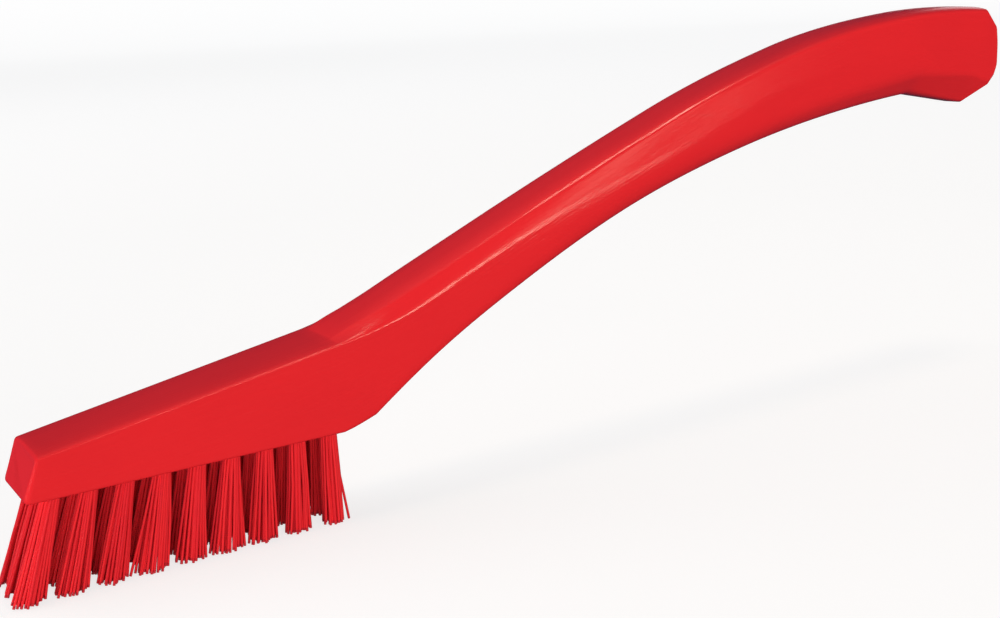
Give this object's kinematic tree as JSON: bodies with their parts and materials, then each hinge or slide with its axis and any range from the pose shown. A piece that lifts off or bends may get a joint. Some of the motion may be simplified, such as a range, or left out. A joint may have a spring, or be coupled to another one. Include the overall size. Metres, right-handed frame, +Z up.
{
  "type": "detailing brush",
  "caption": "Slim hand scrubbing brush: a moulded head and arched handle in one piece, with rows of stiff filament tufts.",
  "frame": {"origin": "on the surface that the filament ends rest on, under the middle of the brush's length and width", "axes": "+X along the brush from the head's tip to the handle's end, +Y across it, +Z up, away from the filament ends"},
  "size_m": [0.2073, 0.0138, 0.0733],
  "materials": {
    "moulding": "moulded red polypropylene, glossy with a fine grain",
    "filament": "extruded red polyester filament, satin",
    "anchor": "bare flat wire"
  },
  "bodies": {
    "root": {"moulded_body": "moulding", "tuft_1_1": "filament", "tuft_1_2": "filament", "tuft_1_3": "filament", "tuft_1_4": "filament", "tuft_1_5": "filament", "tuft_1_6": "filament", "tuft_1_7": "filament", "tuft_1_8": "filament", "tuft_1_9": "filament", "tuft_2_1": "filament", "tuft_2_2": "filament", "tuft_2_3": "filament", "tuft_2_4": "filament", "tuft_2_5": "filament", "tuft_2_6": "filament", "tuft_2_7": "filament", "tuft_2_8": "filament", "tuft_2_9": "filament", "tuft_3_1": "filament", "tuft_3_2": "filament", "tuft_3_3": "filament", "tuft_3_4": "filament", "tuft_3_5": "filament", "tuft_3_6": "filament", "tuft_3_7": "filament", "tuft_3_8": "filament", "tuft_3_9": "filament", "anchor_1_1": "anchor", "anchor_1_2": "anchor", "anchor_1_3": "anchor", "anchor_1_4": "anchor", "anchor_1_5": "anchor", "anchor_1_6": "anchor", "anchor_1_7": "anchor", "anchor_1_8": "anchor", "anchor_1_9": "anchor", "anchor_2_1": "anchor", "anchor_2_2": "anchor", "anchor_2_3": "anchor", "anchor_2_4": "anchor", "anchor_2_5": "anchor", "anchor_2_6": "anchor", "anchor_2_7": "anchor", "anchor_2_8": "anchor", "anchor_2_9": "anchor", "anchor_3_1": "anchor", "anchor_3_2": "anchor", "anchor_3_3": "anchor", "anchor_3_4": "anchor", "anchor_3_5": "anchor", "anchor_3_6": "anchor", "anchor_3_7": "anchor", "anchor_3_8": "anchor", "anchor_3_9": "anchor"}
  },
  "joints": []
}
